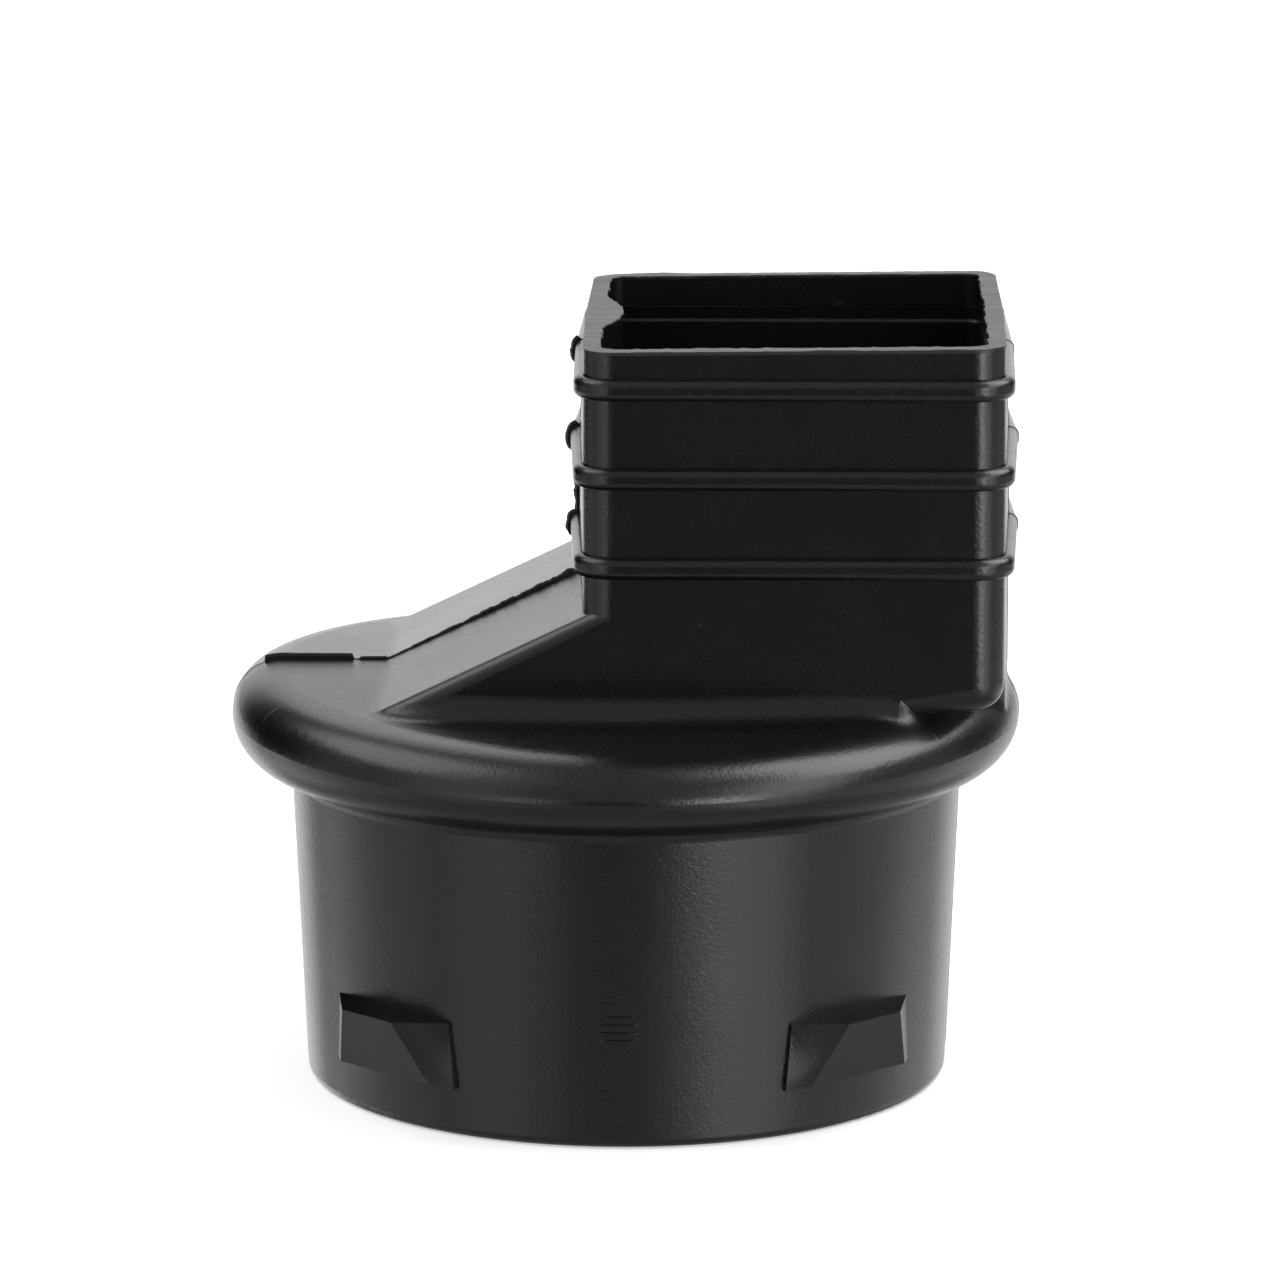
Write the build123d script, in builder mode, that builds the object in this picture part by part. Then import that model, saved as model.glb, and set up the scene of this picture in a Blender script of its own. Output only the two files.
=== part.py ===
"""Offset downspout adapter: one blow-moulded shell, symmetric about its parting plane.

A rectangular socket takes the downspout. A sloping shoulder leads from it to a bulged
collar and a round spigot, which snaps into a corrugated drain pipe by four wedge cleats.
Z is up, the spigot's axis is the Z axis, and the mould parts on the XZ plane.
"""
import os
from math import atan2, cos, degrees, radians, sin, sqrt, tan

from build123d import *

os.makedirs("parts", exist_ok=True)

# Blown wall, and the slope that lets upward faces leave the mould
wall = 2.5
gable_draft = 1.6

# Round spigot, a little narrower at its free end
spigot_tip_radius = 49.7
spigot_length = 48.85
spigot_lip_radius = 1.6
neck_cove = 2.0

# Bulged collar that stops against the end of the drain pipe
neck_radius = 52.2
collar_overhang = 8.7
collar_ridge_height = 64.45
collar_belly_height = 57.05
collar_belly_fall = 1.5
collar_under_rise = 0.6
collar_side_reach = 7.6
collar_front_reach = 9.2
collar_front_drop = 1.2

# Sloping shoulder between the collar and the socket
shoulder_crease_x = -36.9
shoulder_slope = 0.475
shoulder_edge_round = 2.2
foot_cove = 4.0

# Rectangular socket for the downspout, wider at the parting plane, most of all low down
socket_half_depth = 35.5
socket_left_x = -5.6
socket_right_x = 57.5
socket_side_spread = 1.46
rim_side_spread = 0.3
socket_corner_radius = 4.8
rim_height = 118.75
rim_rise_x = 0.0105
rim_rise_y = 0.005

# Beads round the socket
bead_drops = (32.7, 19.1, 5.6)
bead_width = 3.3
bead_proud = 1.4
bead_round = 1.2
groove_depth = 0.9
groove_width = 3.0
groove_round = 0.7

# Corners of the socket that overhang the collar
relief_front_x = 43.3
relief_side_y = 15.0
relief_edge_round = 2.5
chin_lift = 5.4
chin_rise_x = 0.15
chin_rise_y = 0.05
chin_round = 4.0

# Snap cleats on the spigot
cleat_foot_height = 7.65
cleat_ledge_height = 17.9
cleat_foot_inner = (25.0, 44.3)
cleat_foot_ridge = (28.9, 41.6)
cleat_foot_outer = (43.1, 28.1)
cleat_foot_heel = (43.6, 25.0)
cleat_inner = (25.9, 44.0)
cleat_ridge = (34.6, 43.5)
cleat_outer = (42.3, 36.0)
cleat_heel = (43.3, 26.0)
cleat_root_depth = 4.0

# Rib that the parting line leaves inside the socket's left wall
seam_rib_foot_height = 78.0
seam_rib_full_height = 92.0
seam_rib_half_width = 24.0
seam_rib_root_depth = 0.3
seam_rib_peak_depth = 5.2

# How the form is put together
collar_sections = 12
collar_core_radius = 30.0
overshoot = 5.0
least_round = 0.2
seam_reach = 1.0
quarter_turn = 90
half_turn = 180

# Worked out from the sizes above
gable_fall = tan(radians(gable_draft))
collar_radius = neck_radius + collar_overhang
chin_height = collar_belly_height + chin_lift
bead_heights = [rim_height - drop for drop in bead_drops]


def inner_round(radius, inset):
    """Radius of a convex rounding on the surface that lies one inset further in."""
    return max(radius - inset, least_round)


def shifted_plane(point, slopes, inset):
    """Plane through a point, rising by the two slopes along X and Y, moved down its normal."""
    normal = Vector(-slopes[0], -slopes[1], 1).normalized()
    return Plane(origin=Vector(*point) - normal * inset, z_dir=normal)


def collar_section(azimuth, inset):
    """Radial section of the collar at one azimuth, one inset inside its outer surface."""
    forward = sin(radians(azimuth)) ** 2
    fall = gable_fall * sin(radians(azimuth))
    reach = collar_side_reach + (collar_front_reach - collar_side_reach) * forward - inset
    centre_radius = collar_radius - inset - reach
    belly_height = collar_belly_height - collar_belly_fall * forward
    under_height = spigot_length + collar_under_rise * forward + inset
    ridge_height = collar_ridge_height - collar_front_drop * forward ** 2 - inset
    headroom = ridge_height - fall * centre_radius - belly_height
    crown = sqrt(headroom ** 2 - (fall * reach) ** 2)
    crown_angle = degrees(atan2(crown, fall * reach))
    crown_end = (centre_radius + reach * cos(radians(crown_angle)),
                 belly_height + crown * sin(radians(crown_angle)))
    across = Vector(cos(radians(azimuth)), sin(radians(azimuth)), 0)
    plane = Plane(origin=(0, 0, 0), x_dir=across, z_dir=across.cross(Vector(0, 0, 1)))
    with BuildSketch(plane) as section:
        with BuildLine():
            Polyline(crown_end, (collar_core_radius, ridge_height - fall * collar_core_radius),
                     (collar_core_radius, under_height), (neck_radius, under_height))
            EllipticalCenterArc((centre_radius, belly_height), reach, crown, 0,
                                arc_size=crown_angle)
            EllipticalCenterArc((neck_radius, belly_height), collar_radius - inset - neck_radius,
                                belly_height - under_height, -quarter_turn,
                                arc_size=quarter_turn)
        make_face()
    return section.sketch


def round_body(inset):
    """Back half of the spigot and collar, one inset inside their outer surface."""
    foot_height = -overshoot if inset else 0.0
    foot_radius = spigot_tip_radius - inset
    top_height = collar_belly_height
    with BuildPart() as body:
        with BuildSketch(Plane.XZ):
            with BuildLine():
                Polyline((0, foot_height), (foot_radius, foot_height),
                         (neck_radius - inset, top_height), (0, top_height), close=True)
            make_face()
        revolve(axis=Axis.Z, revolution_arc=half_turn)
        loft([collar_section(half_turn * step / collar_sections, inset)
              for step in range(collar_sections + 1)])
        under_height = spigot_length + collar_under_rise + inset
        wall_radius = foot_radius + (neck_radius - inset - foot_radius) * under_height / top_height
        neck_edge = body.edges().sort_by_distance((0, wall_radius, under_height))[0]
        fillet(neck_edge, neck_cove)
        if not inset:
            fillet(body.edges().sort_by_distance((0, foot_radius, 0))[0], spigot_lip_radius)
    return body.part


def spread_at(height):
    """How far the socket's end walls bow out at the parting plane, at one height."""
    taper_height = bead_heights[1]
    taper = (height - taper_height) / (rim_height - taper_height)
    spread = socket_side_spread - (socket_side_spread - rim_side_spread) * max(taper, 0)
    return max(spread, least_round)


def socket_outline(height, grow):
    """Outline of the socket at one height, moved outward by the given amount."""
    spread = spread_at(height)
    with BuildSketch(Plane.XY.offset(height)) as outline:
        with BuildLine():
            side = Polyline((socket_left_x - spread, 0), (socket_left_x, socket_half_depth),
                            (socket_right_x, socket_half_depth), (socket_right_x + spread, 0))
            mirror(side, about=Plane.XZ)
        make_face()
        sharp = [v for v in outline.vertices() if abs(v.Y) > seam_reach]
        fillet(sharp, socket_corner_radius)
        if grow:
            offset(amount=grow, kind=Kind.INTERSECTION, mode=Mode.REPLACE)
    return outline.sketch


def socket_body(inset):
    """Back half of the rectangular socket down to its rounded chin."""
    chin = shifted_plane((relief_front_x, socket_half_depth, chin_height),
                         (chin_rise_x, chin_rise_y), -inset)
    top_height = rim_height + (2 * overshoot if inset else overshoot)
    taper_height = bead_heights[1]
    with BuildPart() as body:
        loft([socket_outline(spigot_length, -inset), socket_outline(taper_height, -inset)],
             ruled=True)
        loft([socket_outline(taper_height, -inset), socket_outline(top_height, -inset)],
             ruled=True)
        split(bisect_by=Plane.XZ, keep=Keep.BOTTOM)
        split(bisect_by=chin, keep=Keep.TOP)
        floor = body.faces().sort_by(Axis.Z)[0]
        fillet(floor.edges().filter_by(lambda e: e.center().Y > seam_reach),
               inner_round(chin_round, inset))
    return body.part


def shoulder_body(inset):
    """Back half of the sloping shoulder and of the walls that stand under the socket."""
    slope_top = shifted_plane((shoulder_crease_x, 0, collar_ridge_height),
                              (shoulder_slope, -gable_fall), inset)
    hidden_x = shoulder_crease_x - overshoot
    shoulder_rise = shoulder_slope * (socket_left_x + socket_corner_radius - shoulder_crease_x)
    right_at_relief = socket_right_x + socket_side_spread * (1 - relief_side_y / socket_half_depth)
    with BuildPart() as body:
        with BuildSketch(Plane.XY.offset(collar_belly_height)) as plan:
            with BuildLine():
                side = Polyline((hidden_x, 0), (hidden_x, socket_half_depth),
                                (relief_front_x, socket_half_depth),
                                (right_at_relief, relief_side_y),
                                (socket_right_x + socket_side_spread, 0))
                mirror(side, about=Plane.XZ)
            make_face()
            relief_corners = [v for v in plan.vertices() if v.X > 0 and abs(v.Y) > seam_reach]
            fillet(relief_corners, relief_edge_round)
            if inset:
                offset(amount=-inset, kind=Kind.INTERSECTION, mode=Mode.REPLACE)
        extrude(amount=collar_ridge_height + shoulder_rise + overshoot - collar_belly_height)
        split(bisect_by=Plane.XZ, keep=Keep.BOTTOM)
        split(bisect_by=slope_top, keep=Keep.BOTTOM)
        front_edges = body.edges().filter_by(Axis.Y, reverse=True).filter_by(Axis.Z, reverse=True)
        shoulder_edge = front_edges.sort_by_distance((socket_left_x, socket_half_depth,
                                                      collar_ridge_height + shoulder_rise))[0]
        fillet(shoulder_edge, inner_round(shoulder_edge_round, inset))
    return body.part


def bead(height, inset):
    """Back half of one bead round the socket, or of the groove behind it."""
    proud = groove_depth - wall if inset else bead_proud
    width = groove_width if inset else bead_width
    rounding = groove_round if inset else bead_round
    with BuildPart() as ring:
        with BuildSketch(Plane.XY.offset(height - width / 2)):
            add(socket_outline(height, proud).moved(Location((0, 0, -width / 2))))
        extrude(amount=width)
        fillet(ring.faces().sort_by(Axis.Z)[0].edges(), rounding)
        fillet(ring.faces().sort_by(Axis.Z)[-1].edges(), rounding)
        split(bisect_by=Plane.XZ, keep=Keep.BOTTOM)
    return ring.part


def cleat(inset):
    """Wedge cleat that rises to a flat ledge, or the hollow behind it."""
    outward = Vector(*cleat_ridge).normalized()
    foot = (cleat_foot_inner, cleat_foot_ridge, cleat_foot_outer, cleat_foot_heel)
    ledge = (cleat_inner, cleat_ridge, cleat_outer, cleat_heel)
    with BuildPart() as wedge:
        for height, corners in ((cleat_foot_height, foot), (cleat_ledge_height - inset, ledge)):
            front = [Vector(*corner) - outward * inset for corner in corners]
            root = [front[-1] - outward * cleat_root_depth, front[0] - outward * cleat_root_depth]
            with BuildSketch(Plane.XY.offset(height)):
                with BuildLine():
                    Polyline(*front, *root, close=True)
                make_face()
        loft(ruled=True)
    return wedge.part


def seam_rib():
    """Back half of the rib inside the left wall, swelling upward to its full depth."""
    with BuildPart() as rib:
        for height, depth in ((seam_rib_foot_height, seam_rib_root_depth + least_round),
                              (seam_rib_full_height, seam_rib_peak_depth)):
            with BuildSketch(Plane.XY.offset(height)) as section:
                with BuildLine():
                    Polyline((socket_left_x + seam_rib_root_depth, 0),
                             (socket_left_x + depth, 0),
                             (socket_left_x + seam_rib_root_depth, seam_rib_half_width), close=True)
                make_face()
        loft(ruled=True)
        extrude(section.sketch, amount=rim_height + overshoot - seam_rib_full_height)
    return rib.part


def moulded_half(inset):
    """Back half of the whole form, one inset inside its outer surface."""
    with BuildPart() as half:
        add(round_body(inset))
        add(shoulder_body(inset))
        if not inset:
            fillet(half.edges(Select.NEW), foot_cove)
        add(socket_body(inset))
        for height in bead_heights:
            add(bead(height, inset))
        right_cleat = cleat(inset)
        add(right_cleat)
        add(mirror(right_cleat, about=Plane.YZ, mode=Mode.PRIVATE))
    return half.part


with BuildPart() as adapter_shell:
    add(moulded_half(0))
    add(moulded_half(wall), mode=Mode.SUBTRACT)
    add(seam_rib())
    mirror(about=Plane.XZ)
    split(bisect_by=shifted_plane((socket_left_x, -socket_half_depth, rim_height),
                                  (rim_rise_x, rim_rise_y), 0), keep=Keep.BOTTOM)
adapter_shell.part.label = "adapter_shell"
export_step(adapter_shell.part, "parts/adapter_shell.step")
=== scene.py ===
"""Looks of the downspout adapter: black blown polyethylene with a knife-trimmed rim.

The moulded shell comes from the frame. Added here are what the mould and the knife left on it:
the parting flash, the vent plug's mark, and the uneven lip round the rim.
"""
from math import cos, degrees, pi, radians, sin, sqrt, tau

import bmesh
import bpy
from mathutils import Matrix, Vector, noise


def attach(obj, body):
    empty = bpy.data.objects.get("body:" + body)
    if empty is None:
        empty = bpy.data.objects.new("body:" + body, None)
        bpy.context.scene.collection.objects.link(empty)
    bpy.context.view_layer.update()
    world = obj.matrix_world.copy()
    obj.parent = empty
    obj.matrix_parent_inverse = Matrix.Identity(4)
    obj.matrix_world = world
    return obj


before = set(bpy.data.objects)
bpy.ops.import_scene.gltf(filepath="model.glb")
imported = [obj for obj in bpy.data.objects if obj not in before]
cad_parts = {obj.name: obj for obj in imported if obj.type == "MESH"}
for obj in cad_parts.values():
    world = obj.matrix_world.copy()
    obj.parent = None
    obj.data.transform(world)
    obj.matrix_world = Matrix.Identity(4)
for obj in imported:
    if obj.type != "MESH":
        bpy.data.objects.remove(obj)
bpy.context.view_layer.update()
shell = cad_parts["adapter_shell"]

# The adapter's sizes are in millimetres, and are turned into metres where geometry is made
millimetre = 0.001
body_name = "root"

# Sizes of the shell that the added pieces sit on
rim_height = 118.75
rim_rise_x = 0.0105
rim_rise_y = 0.005
rim_side_spread = 0.3
socket_left_x = -5.6
socket_right_x = 57.5
socket_half_depth = 35.5
socket_corner_radius = 4.8
wall = 2.5
seam_rib_half_width = 24.0
seam_rib_root_depth = 0.3
seam_rib_peak_depth = 5.2
spigot_tip_radius = 49.7
neck_radius = 52.2
collar_belly_height = 57.05
bead_heights = (86.05, 99.65, 113.15)


def rim_height_at(x, y):
    """Height of the slanting rim at one place."""
    return rim_height + rim_rise_x * (x - socket_left_x) + rim_rise_y * (y + socket_half_depth)


def spigot_radius(height):
    """Radius of the spigot's outside at one height."""
    return spigot_tip_radius + (neck_radius - spigot_tip_radius) * height / collar_belly_height


def smooth_step(low, high, value):
    """0 below low, 1 above high, with a smooth change in between."""
    share = min(1.0, max(0.0, (value - low) / (high - low)))
    return share * share * (3 - 2 * share)


class Nodes:
    """A node tree, with short calls to add nodes and links."""

    column_width = 200

    def __init__(self, tree):
        self.tree = tree
        self.column = 0

    def add(self, kind, **settings):
        """A new node, placed left of the others."""
        node = self.tree.nodes.new(kind)
        self.column += 1
        node.location = (-self.column_width * self.column, 0)
        for key, value in settings.items():
            setattr(node, key, value)
        return node

    def link(self, source, target):
        """Lead an output to an input."""
        self.tree.links.new(source, target)

    def scaled(self, position, scale):
        """A position times a scale for each axis."""
        node = self.add("ShaderNodeMapping")
        node.inputs["Scale"].default_value = scale
        self.link(position, node.inputs["Vector"])
        return node.outputs["Vector"]

    def noise(self, position, scale, detail=2.0, roughness=0.5):
        """Noise from 0 to 1 that repeats about as often as its scale in each unit of length."""
        node = self.add("ShaderNodeTexNoise")
        node.inputs["Scale"].default_value = scale
        node.inputs["Detail"].default_value = detail
        node.inputs["Roughness"].default_value = roughness
        self.link(position, node.inputs["Vector"])
        return node.outputs["Fac"]

    def ramp(self, value, low, high, from_value, to_value):
        """A smooth change from one value to another while the input goes from low to high."""
        node = self.add("ShaderNodeMapRange", interpolation_type="SMOOTHSTEP")
        node.inputs["From Min"].default_value = low
        node.inputs["From Max"].default_value = high
        node.inputs["To Min"].default_value = from_value
        node.inputs["To Max"].default_value = to_value
        self.link(value, node.inputs["Value"])
        return node.outputs["Result"]

    def math(self, operation, first, second=0.0):
        """One calculation, on outputs of other nodes or on numbers."""
        node = self.add("ShaderNodeMath", operation=operation)
        for socket, value in zip(node.inputs, (first, second)):
            if isinstance(value, (int, float)):
                socket.default_value = value
            else:
                self.link(value, socket)
        return node.outputs["Value"]

    def bump(self, height, distance, before=None):
        """Bump of a height map whose full range stands for the distance, in millimetres."""
        node = self.add("ShaderNodeBump")
        node.inputs["Distance"].default_value = distance * millimetre
        self.link(height, node.inputs["Height"])
        if before is not None:
            self.link(before, node.inputs["Normal"])
        return node.outputs["Normal"]


def new_material(name):
    """A new material, its node tree and its shader."""
    material = bpy.data.materials.new(name)
    material.use_nodes = True
    nodes = Nodes(material.node_tree)
    return material, nodes, nodes.tree.nodes["Principled BSDF"]


# Patterns on the plastic: how often each repeats in a millimetre, along each axis for scratches
cloud_scale = 0.06
fine_cloud_scale = 0.55
wave_scale = 0.045
grain_scale = 2.0
fine_grain_scale = 4.6
scratch_scales = (0.05, 1.6, 0.12)
cross_scratch_scales = (0.9, 0.05, 0.9)

# How the patterns show
dark_share = 0.9
light_share = 1.1
light_blue_share = 1.14
cloud_low = 0.2
cloud_high = 0.8
cloud_dulling = 0.012
fine_cloud_dulling = 0.008
fine_grain_share = 0.3
scratch_start = 0.70
cross_scratch_start = 0.72
scratch_edge = 0.04
scratch_dulling = 0.12
plastic_refraction = 1.51


def scratches(nodes, place, scales, start):
    """Rubbed marks along one direction: 1 on a mark and 0 beside it."""
    streaks = nodes.noise(nodes.scaled(place, scales), 1.0, detail=3.0, roughness=0.6)
    return nodes.ramp(streaks, start, start + scratch_edge, 0.0, 1.0)


def polyethylene(name, shade, roughness, grain_depth, wave_depth, scratch_depth):
    """Black polyethylene with the mould's fine orange-peel grain and a few rubbed scratches."""
    material, nodes, shader = new_material(name)
    place = nodes.add("ShaderNodeTexCoord").outputs["Object"]
    place = nodes.scaled(place, (1 / millimetre,) * 3)
    cloud = nodes.noise(place, cloud_scale, detail=3.0)
    fine_cloud = nodes.noise(place, fine_cloud_scale, detail=4.0, roughness=0.6)
    wave = nodes.noise(place, wave_scale, detail=1.0)
    grain = nodes.noise(place, grain_scale, roughness=0.45)
    fine_grain = nodes.noise(place, fine_grain_scale)
    marks = nodes.math("MAXIMUM", scratches(nodes, place, scratch_scales, scratch_start),
                       scratches(nodes, place, cross_scratch_scales, cross_scratch_start))

    dark, light, light_blue = shade * dark_share, shade * light_share, shade * light_blue_share
    mixed = nodes.add("ShaderNodeMix", data_type="RGBA")
    mixed.inputs["A"].default_value = (dark, dark, dark, 1)
    mixed.inputs["B"].default_value = (light, light, light_blue, 1)
    nodes.link(nodes.math("MULTIPLY", cloud, fine_cloud), mixed.inputs["Factor"])
    colour = next(socket for socket in mixed.outputs if socket.type == "RGBA")
    nodes.link(colour, shader.inputs["Base Color"])

    dullness = nodes.ramp(cloud, cloud_low, cloud_high, roughness - cloud_dulling,
                          roughness + cloud_dulling)
    fine_dullness = nodes.ramp(fine_cloud, cloud_low, cloud_high, -fine_cloud_dulling,
                               fine_cloud_dulling)
    dullness = nodes.math("ADD", dullness, fine_dullness)
    dullness = nodes.math("ADD", dullness, nodes.math("MULTIPLY", marks, scratch_dulling))
    nodes.link(dullness, shader.inputs["Roughness"])
    shader.inputs["IOR"].default_value = plastic_refraction

    normal = nodes.bump(wave, wave_depth)
    normal = nodes.bump(grain, grain_depth, normal)
    normal = nodes.bump(fine_grain, grain_depth * fine_grain_share, normal)
    normal = nodes.bump(marks, scratch_depth, normal)
    nodes.link(normal, shader.inputs["Normal"])
    return material


moulded = polyethylene("moulded_polyethylene", shade=0.004, roughness=0.27, grain_depth=0.038,
                       wave_depth=0.20, scratch_depth=0.012)
trimmed = polyethylene("trimmed_polyethylene", shade=0.010, roughness=0.42, grain_depth=0.05,
                       wave_depth=0.1, scratch_depth=0.02)
for material_slot in shell.material_slots:
    material_slot.material = moulded


def add_piece(name, corners, faces, material):
    """A mesh piece in the row frame, from points in millimetres, that rides on the shell."""
    mesh = bpy.data.meshes.new(name)
    mesh.from_pydata([corner * millimetre for corner in corners], [], faces)
    mesh.validate()
    mesh.shade_flat()
    mesh.materials.append(material)
    piece = bpy.data.objects.new(name, mesh)
    bpy.context.scene.collection.objects.link(piece)
    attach(piece, body_name)


def tube(rings, first=0, closed=False, capped=False):
    """Corners and faces of a tube through rings of corners, which are numbered from the first.

    A closed tube leads back to its first ring, and a capped one has a face at each end.
    """
    ring = len(rings[0])
    corners = [corner for corners in rings for corner in corners]
    faces = []
    for stop in range(len(rings) if closed else len(rings) - 1):
        low = first + stop * ring
        high = first + (stop + 1) % len(rings) * ring
        for corner in range(ring):
            following = (corner + 1) % ring
            faces.append((low + corner, high + corner, high + following, low + following))
    if capped:
        last = first + (len(rings) - 1) * ring
        faces.append(tuple(range(first, first + ring)))
        faces.append(tuple(range(last, last + ring))[::-1])
    return corners, faces


# A run shorter than this has no length
shortest_run = 1e-9


def chain_lengths(points):
    """Length of a chain of straight runs up to each of its points."""
    lengths = [0.0]
    for first, second in zip(points, points[1:]):
        lengths.append(lengths[-1] + (second - first).length)
    return lengths


def even_stops(lengths, count):
    """Stops that divide a chain evenly, each as the number of its run and its share of that run."""
    stops, run = [], 0
    for index in range(count + 1):
        along = lengths[-1] * index / count
        while run < len(lengths) - 2 and lengths[run + 1] < along:
            run += 1
        share = (along - lengths[run]) / max(lengths[run + 1] - lengths[run], shortest_run)
        stops.append((run, min(1.0, share)))
    return stops


# Parting flash: a thin fin where the mould halves met
flash_step = 0.35
flash_width = 0.42
flash_root = 0.25
flash_side_height = 0.06
flash_side_even_share = 0.8
flash_side_rag_share = 0.3
flash_socket_height = 0.10
flash_socket_rag_share = 0.25
flash_socket_start = 64.65
flash_bead_height = 0.14
flash_bead_reach = 2.4
flash_top_height = 0.95
flash_short_height = 0.50
flash_gap_height = 0.12
flash_top_start_x = -55.9
flash_gap_start_x = -42.3
flash_gap_end_x = -41.2
slope_start_x = -36.9
slope_end_x = -7.0
slope_low_height = 0.30
slope_high_height = 0.80
flash_tip_start = 1.0
flash_tip_end = 4.0
flash_sunk = 0.1

# Upper corners of the fin's section: place across it and rise, in shares of its width and height
flash_crest = ((-0.42, 0.55), (-0.16, 0.96), (0.16, 1.0), (0.42, 0.5))

# Unevenness along the fin: strength, wavelength and seed
coarse_rag = (0.35, 1.1, 3.1)
fine_rag = (0.21, 0.45, 9.4)
top_rag = (0.06, 2.5, 1.7)
short_rag = (0.15, 1.2, 2.3)
lean_rag = (0.10, 3.0, 5.2)

# How the outline is found on the cut through the parting plane
merge_distance = 1e-4
plane_tolerance = 2e-4
tip_zone = 10.0
tip_weight = 20
rim_margin = 0.05


def ripple(unevenness, along):
    """Smooth random change at a place along a line, the same on each run."""
    strength, wavelength, seed = unevenness
    return strength * noise.noise(Vector((along / wavelength, seed, seed / 2)))


def joined_corners(cut):
    """Corners of the cut on the parting plane, each with those that an edge joins it to."""
    joined = {}
    for edge in cut.edges:
        first, second = edge.verts
        if max(abs(first.co.y), abs(second.co.y)) < plane_tolerance * millimetre:
            joined.setdefault(first, []).append(second)
            joined.setdefault(second, []).append(first)
    return joined


def below_rim(corner):
    """Whether a corner of the cut is still lower than the rim."""
    rim = rim_height_at(corner.co.x / millimetre, 0)
    return corner.co.z <= (rim - rim_margin) * millimetre


def outer_chain(joined, side):
    """Points of the shell's outline on one side, from the spigot's tip to the rim."""
    tips = [v for v in joined if v.co.x * side > 0 and v.co.z < tip_zone * millimetre]
    start = min(tips, key=lambda v: v.co.z * tip_weight - v.co.x * side)
    path = [start, max(joined[start], key=lambda v: v.co.z + v.co.x * side)]
    while below_rim(path[-1]):
        onward = [v for v in joined[path[-1]] if v not in path[-3:]]
        if not onward or onward[0] is start:
            break
        path.append(max(onward, key=lambda v: v.co.z))
    return [v.co / millimetre for v in path]


def parting_outlines(node):
    """Outline of the node on the parting plane, on the left and on the right."""
    cut = bmesh.new()
    cut.from_mesh(node.data)
    distance = merge_distance * millimetre
    bmesh.ops.remove_doubles(cut, verts=cut.verts, dist=distance)
    everything = cut.verts[:] + cut.edges[:] + cut.faces[:]
    bmesh.ops.bisect_plane(cut, geom=everything, dist=distance, plane_co=(0, 0, 0), plane_no=(0, 1, 0))
    joined = joined_corners(cut)
    outlines = [outer_chain(joined, side) for side in (-1, 1)]
    cut.free()
    return outlines


def resampled(points, step):
    """Points about a step apart along a chain of straight runs."""
    lengths = chain_lengths(points)
    stops = even_stops(lengths, int(lengths[-1] / step))
    return [points[run].lerp(points[run + 1], share) for run, share in stops]


def top_flash_height(x, along, rag):
    """How far the fin stands out on the collar's flat and on the slope."""
    if x < flash_gap_start_x:
        return flash_top_height * (1 + ripple(top_rag, along))
    if x < flash_gap_end_x:
        return flash_gap_height
    if x < slope_start_x:
        return flash_short_height * (1 + ripple(short_rag, along))
    rise = smooth_step(slope_start_x, slope_end_x, x)
    return rag * (slope_low_height + (slope_high_height - slope_low_height) * rise)


def flash_height(side, point, along):
    """How far the fin stands out at one point of the outline."""
    rag = 1 + ripple(coarse_rag, along) + ripple(fine_rag, along)
    on_top = point.z > collar_belly_height and flash_top_start_x < point.x < slope_end_x
    if side < 0 and on_top:
        return top_flash_height(point.x, along, rag)
    if point.z > flash_socket_start:
        nearness = max(1 - abs(point.z - height) / flash_bead_reach for height in bead_heights)
        lift = max(0.0, nearness) * (flash_bead_height - flash_socket_height)
        even_share = 1 - flash_socket_rag_share
        return (flash_socket_height + lift) * (even_share + flash_socket_rag_share * rag)
    tip_fade = smooth_step(flash_tip_start, flash_tip_end, point.z)
    height = flash_side_height * (flash_side_even_share + flash_side_rag_share * rag)
    return height * tip_fade - flash_sunk * (1 - tip_fade)


def flash_section(height):
    """Corners of the fin's section: place across it, in shares of its width, and rise."""
    crest = [(across, height * share) for across, share in flash_crest]
    return [(-0.5, -flash_root)] + crest + [(0.5, -flash_root)]


def add_flash(name, side, outline):
    """The fin on one side of the shell."""
    points = resampled(outline, flash_step)
    rings = []
    for index, point in enumerate(points):
        before, after = points[max(0, index - 1)], points[min(len(points) - 1, index + 1)]
        tangent = (after - before).normalized()
        outward = Vector((tangent.z, 0, -tangent.x)) * side
        along = index * flash_step
        lean = ripple(lean_rag, along)
        ring = []
        for across, rise in flash_section(flash_height(side, point, along)):
            sway = lean * max(0.0, rise) / flash_top_height
            ring.append(point + outward * rise + Vector((0, across * flash_width + sway, 0)))
        rings.append(ring)
    corners, faces = tube(rings, capped=True)
    if side < 0:
        faces = [face[:1] + face[:0:-1] for face in faces]
    add_piece(name, corners, faces, moulded)


left_outline, right_outline = parting_outlines(shell)
add_flash("parting_flash_left", -1, left_outline)
add_flash("parting_flash_right", 1, right_outline)

# Mark of the vent plug: short fins as long as the plug's slots
vent_x = -0.1
vent_height = 18.85
vent_radius = 3.05
vent_spacing = 1.23
vent_slots = 4
vent_width = 0.26
vent_crest_half_share = 0.2
vent_proud = 0.20
vent_sunk = 0.1
vent_steps = 12
vent_taper_power = 4


def vent_fin(height, half_length):
    """Rings of corners along one level fin on the front of the spigot."""
    radius = spigot_radius(height)
    rings = []
    for step in range(vent_steps + 1):
        share = 2 * step / vent_steps - 1
        x = vent_x + half_length * share
        middle = Vector((x, -sqrt(radius ** 2 - x ** 2), height))
        outward = Vector((middle.x, middle.y, 0)).normalized()
        crest = vent_proud * sqrt(max(0.0, 1 - share ** vent_taper_power))
        section = ((-vent_sunk, -0.5), (crest, -vent_crest_half_share),
                   (crest, vent_crest_half_share), (-vent_sunk, 0.5))
        rings.append([middle + outward * rise + Vector((0, 0, level * vent_width))
                      for rise, level in section])
    return rings


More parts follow.
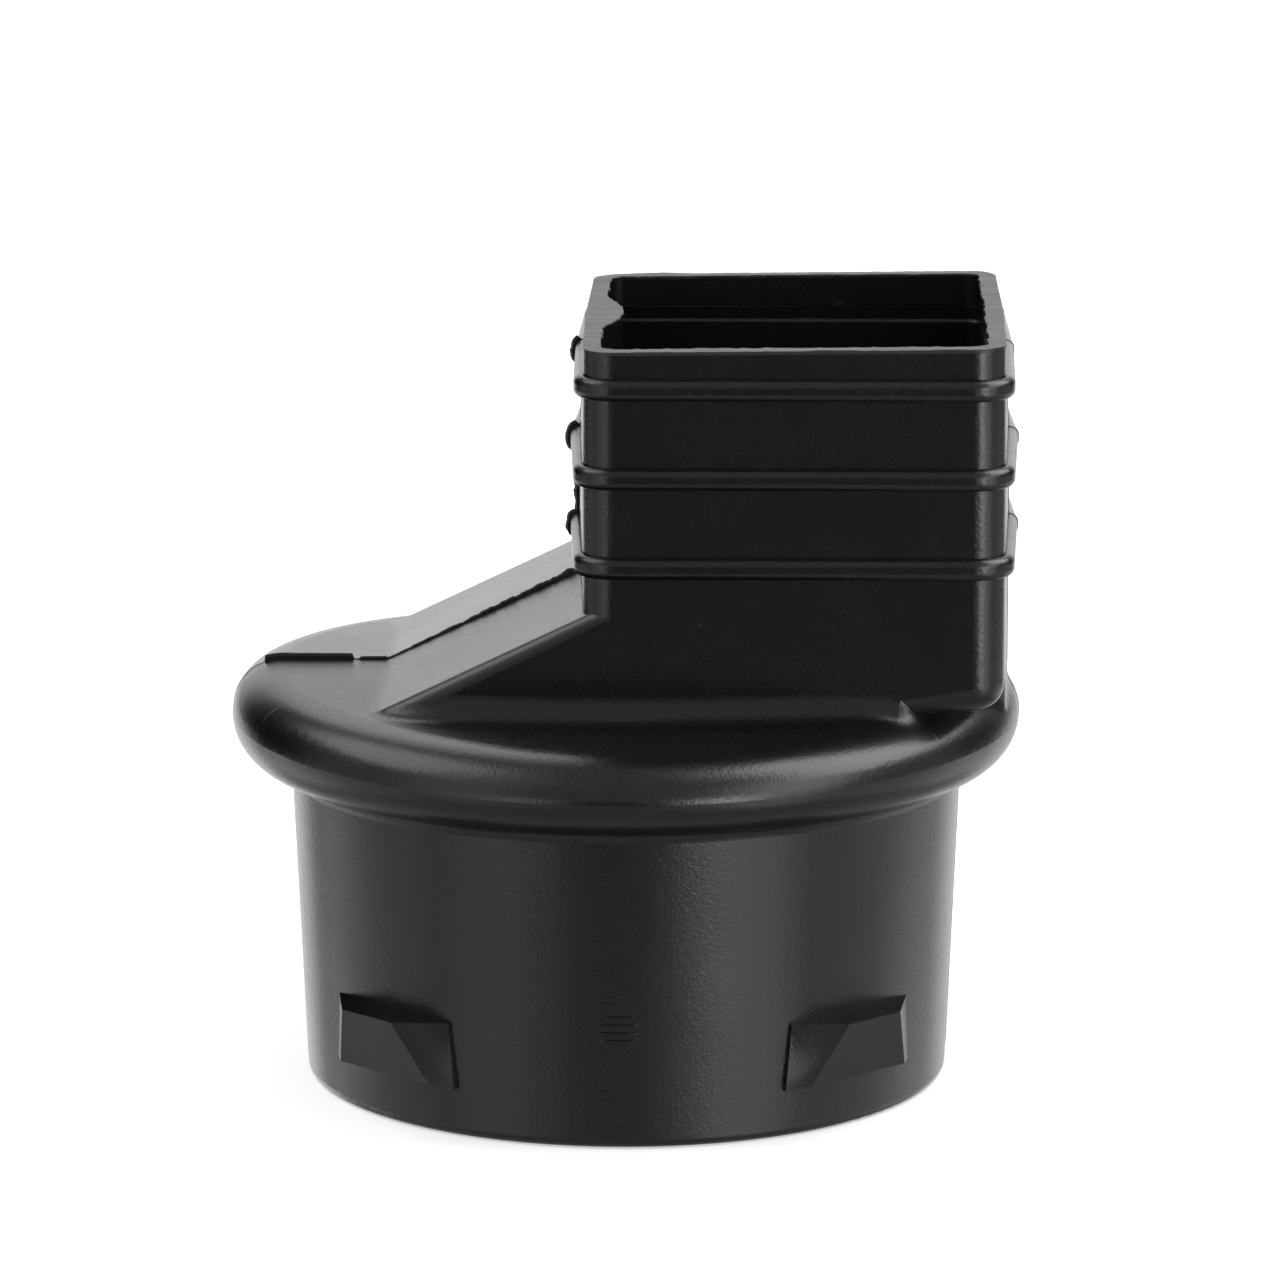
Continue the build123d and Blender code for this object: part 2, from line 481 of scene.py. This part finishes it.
def add_vent_mark():
    """Fine level fins within a circle on the front of the spigot."""
    corners, faces = [], []
    for slot in range(vent_slots):
        offset = (slot - (vent_slots - 1) / 2) * vent_spacing
        half_length = sqrt(vent_radius ** 2 - offset ** 2)
        rings = vent_fin(vent_height + offset, half_length)
        fin_corners, fin_faces = tube(rings, first=len(corners), capped=True)
        corners += fin_corners
        faces += fin_faces
    add_piece("vent_mark", corners, faces, moulded)


add_vent_mark()

# Lip that the trimming knife left round the rim
rim_points = 900
rim_corner_steps = 16
rim_skirt = 0.5
rim_cover = 0.03
rim_top = 0.05
rim_edge_share = 0.3
rim_outer_bevel = 0.12
rim_inner_bevel = 0.10
rim_inner_drop = 0.12

# Unevenness of the lip: a long wave in its height, a burr along its inner edge, and short jags
rim_wave = 0.22
rim_wave_length = 9.0
rim_wave_seed = 4.0
rim_burr = 0.35
rim_burr_even_share = 0.5
rim_burr_change = 0.8
rim_burr_quickening = 1.7
rim_bite = 0.51
rim_jag_length = 1.6
rim_jag_seed = 8.0
rim_outer_jag = 0.06
rim_inner_jag = 0.10

# Points this far right of the socket's left side still belong to its left wall
left_wall_zone = 1.0


def rim_outline():
    """Points round the socket's outline with their outward directions, from the right front."""
    radius = socket_corner_radius
    left, right = socket_left_x + radius, socket_right_x - radius
    depth = socket_half_depth - radius
    middle_x = (socket_left_x + socket_right_x) / 2
    points, directions = [], []
    for x, y, start in ((right, -depth, -pi / 2), (right, depth, 0),
                        (left, depth, pi / 2), (left, -depth, pi)):
        for step in range(rim_corner_steps + 1):
            angle = start + pi / 2 * step / rim_corner_steps
            points.append(Vector((x + radius * cos(angle), y + radius * sin(angle), 0)))
            directions.append(Vector((cos(angle), sin(angle), 0)))
    points.append(points[0])
    directions.append(directions[0])
    outline = []
    for run, share in even_stops(chain_lengths(points), rim_points)[:-1]:
        point = points[run].lerp(points[run + 1], share)
        outward = directions[run].lerp(directions[run + 1], share).normalized()
        spread = rim_side_spread * (1 - abs(point.y) / socket_half_depth)
        point.x += spread if point.x > middle_x else -spread
        outline.append((point, outward))
    return outline


def seam_rib_depth(point):
    """How far the rib inside the left wall stands beyond the wall's inner face."""
    if point.x > socket_left_x + left_wall_zone or abs(point.y) > seam_rib_half_width:
        return 0.0
    share = 1 - abs(point.y) / seam_rib_half_width
    share = max(share, sin(share * pi / 2) ** 2)
    surface = seam_rib_root_depth + (seam_rib_peak_depth - seam_rib_root_depth) * share
    return max(0.0, surface + socket_left_x - point.x - wall)


def rim_section(point):
    """Corners of the lip's section at one place: how far each lies inward and above the cut."""
    place = Vector((point.x / rim_wave_length, point.y / rim_wave_length, rim_wave_seed))
    wave = noise.noise(place)
    jag = noise.noise(Vector((point.x / rim_jag_length, point.y / rim_jag_length, rim_jag_seed)))
    outer_rise = rim_top + rim_wave * max(0.0, wave) + rim_outer_jag * jag
    inner_rise = rim_top + rim_wave * max(0.0, -wave) + rim_inner_jag * max(0.0, jag)
    burr_wave = rim_burr_change * noise.noise(place * rim_burr_quickening)
    burr = rim_burr * (rim_burr_even_share + burr_wave) + rim_bite * max(0.0, jag)
    burr = max(rim_cover, burr)
    inner = wall + burr + seam_rib_depth(point)
    return ((-rim_cover, -rim_skirt), (-rim_cover, outer_rise * rim_edge_share),
            (rim_outer_bevel, outer_rise), (inner - rim_inner_bevel, inner_rise),
            (inner, -rim_inner_drop), (inner - burr + rim_cover, -rim_skirt))


def add_rim_lip():
    """Thin uneven cap on the rim, with a burr that hangs over the inner edge."""
    rings = []
    for point, outward in rim_outline():
        ring = []
        for inward, rise in rim_section(point):
            corner = point - outward * inward
            corner.z = rim_height_at(corner.x, corner.y) + rise
            ring.append(corner)
        rings.append(ring)
    corners, faces = tube(rings, closed=True)
    add_piece("trimmed_rim", corners, faces, trimmed)


add_rim_lip()

# Camera at the photograph's angle, with its lens in millimetres and its reach in metres
camera_place = Vector((2.2, -1119.9, 307.05)) * millimetre
camera_pitch = radians(12.07)
camera_turn = radians(1.2)
camera_roll = radians(-0.08)
camera_lens = 208.1
sensor_width = 36.0
camera_nearest = 0.05
camera_farthest = 50.0


def add_camera():
    """Camera that looks down at the front of the adapter."""
    camera_data = bpy.data.cameras.new("camera")
    camera = bpy.data.objects.new("camera", camera_data)
    bpy.context.scene.collection.objects.link(camera)
    turn = Matrix.Rotation(camera_turn, 3, "Z")
    level = turn @ Vector((1, 0, 0))
    up = turn @ Vector((0, sin(camera_pitch), cos(camera_pitch)))
    forward = turn @ Vector((0, cos(camera_pitch), -sin(camera_pitch)))
    right = level * cos(camera_roll) + up * sin(camera_roll)
    above = up * cos(camera_roll) - level * sin(camera_roll)
    rotation = Matrix((right, above, -forward)).transposed()
    camera.matrix_world = Matrix.Translation(turn @ camera_place) @ rotation.to_4x4()
    camera_data.sensor_width = sensor_width
    camera_data.lens = camera_lens
    camera_data.clip_start = camera_nearest
    camera_data.clip_end = camera_farthest
    bpy.context.scene.camera = camera


add_camera()

# Studio, in metres: white paper all round, soft lamps, and what the gloss of the plastic mirrors
floor_half_size = 12.0
floor_shade = 0.86
floor_glow = 0.45
world_strength = 0.55
softbox_distance = 1.5
softbox_size = (0.9, 0.7)
softbox_target = Vector((0, 0, 0.06))
dome_radius = 6.0
dome_steps = 48
dome_rings = 24
dome_shade = 0.42
patch_edge = 0.35
patch_squareness = 3.0

# Each soft patch of the mirrored surroundings: azimuth from the front, elevation, half width,
# half height, all in degrees, and brightness. A later patch covers the earlier ones.
patches = (
    # Above, and the ground in front
    (0, 88, 400, 18, 0.30),
    (0, -24, 40, 9, 0.55),
    # Front left and front right, with the dark gap where the camera stands
    (-48, 20, 17, 50, 0.90),
    (46, 4, 17, 42, 1.60),
    (0, -7, 27, 11, 0.00),
    (29, -2, 9, 9, 7.50),
    (-29, -2, 9, 9, 2.00),
    (54, 20, 15, 18, 2.70),
    # Dark stretches behind the sides
    (-128, 12, 26, 32, 0.00),
    (130, 14, 20, 26, 0.08),
    # The ground at the sides
    (-90, -24, 22, 14, 0.75),
    (90, -24, 22, 14, 0.80),
    (-120, -24, 16, 12, 1.20),
    (122, -24, 16, 12, 1.20),
    # Lamps high at the left and the right
    (-98, 52, 34, 20, 2.80),
    (99, 50, 40, 26, 5.20),
    # The back, in two halves that meet behind the adapter
    (-180, 0, 30, 42, 0.95),
    (180, 0, 30, 42, 0.95),
    (-180, 42, 30, 14, 1.90),
    (180, 42, 30, 14, 1.50),
    (-180, 4, 18, 8, 1.50),
    (180, 4, 18, 8, 1.50),
    (-158, -16, 18, 12, 1.50),
    (158, -16, 18, 12, 1.30),
)

# Each softbox: name, direction from the adapter, and power in watts
softboxes = (
    ("softbox_left", (-0.60, 0.06, 0.75), 9.0),
    ("softbox_right", (0.60, 0.06, 0.75), 11.0),
)


def add_stage_piece(name, corners, faces, material):
    """A part of the studio, which isn't part of the object."""
    mesh = bpy.data.meshes.new(name)
    mesh.from_pydata(corners, [], faces)
    mesh.materials.append(material)
    piece = bpy.data.objects.new(name, mesh)
    bpy.context.scene.collection.objects.link(piece)
    return piece


def glowing_material(name, shade):
    """A material without gloss whose white glow is set by what its nodes lead to the shader."""
    material, nodes, shader = new_material(name)
    shader.inputs["Base Color"].default_value = (shade, shade, shade, 1)
    shader.inputs["Specular IOR Level"].default_value = 0.0
    shader.inputs["Emission Color"].default_value = (1, 1, 1, 1)
    return material, nodes, shader


def floor_material():
    """White paper with some glow of its own that only the camera sees."""
    material, nodes, shader = glowing_material("floor_paper", floor_shade)
    shader.inputs["Roughness"].default_value = 1.0
    rays = nodes.add("ShaderNodeLightPath").outputs["Is Camera Ray"]
    nodes.link(nodes.math("MULTIPLY", rays, floor_glow), shader.inputs["Emission Strength"])
    return material


def patch_cover(nodes, azimuth, elevation, patch):
    """How much of one patch covers a direction, from 0 outside it to 1 inside."""
    middle, rise, half_width, half_height = patch
    reach = []
    for angle, centre, half_size in ((azimuth, middle, half_width), (elevation, rise, half_height)):
        share = nodes.math("DIVIDE", nodes.math("SUBTRACT", angle, centre), half_size)
        reach.append(nodes.math("POWER", nodes.math("ABSOLUTE", share), patch_squareness))
    return nodes.ramp(nodes.math("ADD", *reach), 1 - patch_edge, 1 + patch_edge, 1.0, 0.0)


def surroundings_material():
    """Glow of the dome: an even shade with the soft patches laid over it."""
    material, nodes, shader = glowing_material("surroundings", 0)
    place = nodes.add("ShaderNodeTexCoord").outputs["Object"]
    apart = nodes.add("ShaderNodeSeparateXYZ")
    nodes.link(place, apart.inputs["Vector"])
    x, y, z = (apart.outputs[axis] for axis in "XYZ")
    azimuth = nodes.math("ARCTAN2", x, nodes.math("MULTIPLY", y, -1.0))
    azimuth = nodes.math("MULTIPLY", azimuth, degrees(1))
    elevation = nodes.math("ARCSINE", nodes.math("DIVIDE", z, dome_radius))
    elevation = nodes.math("MULTIPLY", elevation, degrees(1))
    glow = dome_shade
    for *patch, brightness in patches:
        cover = patch_cover(nodes, azimuth, elevation, patch)
        bare = nodes.math("SUBTRACT", 1.0, cover)
        glow = nodes.math("ADD", nodes.math("MULTIPLY", glow, bare),
                          nodes.math("MULTIPLY", cover, brightness))
    nodes.link(glow, shader.inputs["Emission Strength"])
    return material


def add_floor():
    """Paper under the adapter, which its gloss doesn't mirror."""
    far = floor_half_size
    corners = ((-far, -far, 0), (far, -far, 0), (far, far, 0), (-far, far, 0))
    floor = add_stage_piece("floor", corners, [(0, 1, 2, 3)], floor_material())
    floor.visible_glossy = False


def add_surroundings():
    """Dome that only glossy rays see, all round the adapter."""
    rings = []
    for ring in range(dome_rings + 1):
        rise = pi * ring / dome_rings - pi / 2
        radius = dome_radius * cos(rise)
        turns = [tau * step / dome_steps for step in range(dome_steps)]
        rings.append([(radius * cos(turn), radius * sin(turn), dome_radius * sin(rise))
                      for turn in turns])
    corners, faces = tube(rings)
    dome = add_stage_piece("surroundings", corners, faces, surroundings_material())
    dome.visible_camera = False
    dome.visible_diffuse = False
    dome.visible_shadow = False
    dome.visible_transmission = False


def add_world():
    """White beyond the studio, which lights matt surfaces less than it shows."""
    world = bpy.data.worlds.new("white_surroundings")
    bpy.context.scene.world = world
    world.use_nodes = True
    nodes = Nodes(world.node_tree)
    background = nodes.tree.nodes["Background"]
    background.inputs["Color"].default_value = (1, 1, 1, 1)
    rays = nodes.add("ShaderNodeLightPath").outputs
    seen = nodes.math("MAXIMUM", rays["Is Camera Ray"], rays["Is Glossy Ray"])
    seen = nodes.math("MAXIMUM", seen, rays["Is Transmission Ray"])
    strength = nodes.ramp(seen, 0.0, 1.0, world_strength, 1.0)
    nodes.link(strength, background.inputs["Strength"])


def add_softbox(name, direction, power):
    """Rectangular soft lamp that faces the adapter from one direction."""
    lamp_data = bpy.data.lights.new(name, "AREA")
    lamp_data.shape = "RECTANGLE"
    lamp_data.size, lamp_data.size_y = softbox_size
    lamp_data.energy = power
    lamp = bpy.data.objects.new(name, lamp_data)
    bpy.context.scene.collection.objects.link(lamp)
    outward = Vector(direction).normalized()
    lamp.location = softbox_target + outward * softbox_distance
    lamp.rotation_mode = "QUATERNION"
    lamp.rotation_quaternion = outward.to_track_quat("Z", "Y")
    lamp.visible_glossy = False


add_floor()
add_surroundings()
add_world()
for name, direction, power in softboxes:
    add_softbox(name, direction, power)

scene = bpy.context.scene
scene.view_settings.view_transform = "Standard"
